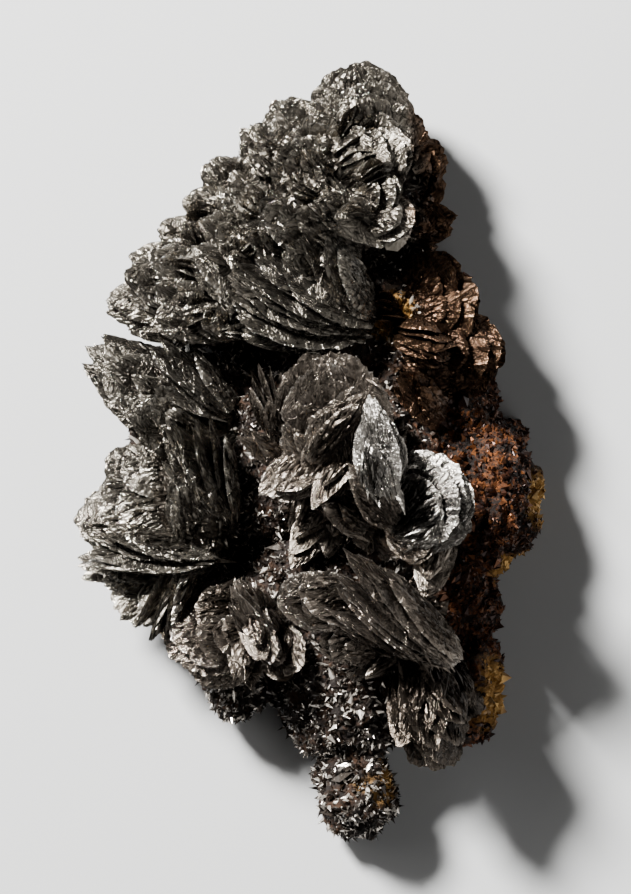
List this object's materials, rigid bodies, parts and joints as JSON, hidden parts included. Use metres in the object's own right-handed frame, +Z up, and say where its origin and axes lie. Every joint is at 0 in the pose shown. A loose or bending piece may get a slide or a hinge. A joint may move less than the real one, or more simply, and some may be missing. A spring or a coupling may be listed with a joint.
{
  "type": "mineral specimen",
  "caption": "Descloizite specimen: sheaves of dark, leaf-shaped crystals on a rusty brown matrix, which rests on its flat back.",
  "frame": {"origin": "middle of the specimen's box, on the flat back that it lies on", "axes": "+Z up from the flat back through the crystals, +Y along the specimen from its narrow stalk to its crown, +X across it to the side where the matrix is bare"},
  "size_m": [0.065, 0.1094, 0.0373],
  "materials": {
    "crystal": "dark grey, greasy to sub-metallic",
    "brown_crystal": "dark brown, glittering",
    "matrix": "rough, rusty brown, set with small glittering crystals"
  },
  "bodies": {
    "root": {"matrix": "matrix", "crown_crystals": "crystal", "shoulder_crystals": "brown_crystal", "left_crystals": "crystal", "lower_left_crystals": "crystal", "centre_crystals": "crystal", "slab_crystals": "crystal", "block_crystals": "crystal"}
  },
  "joints": []
}
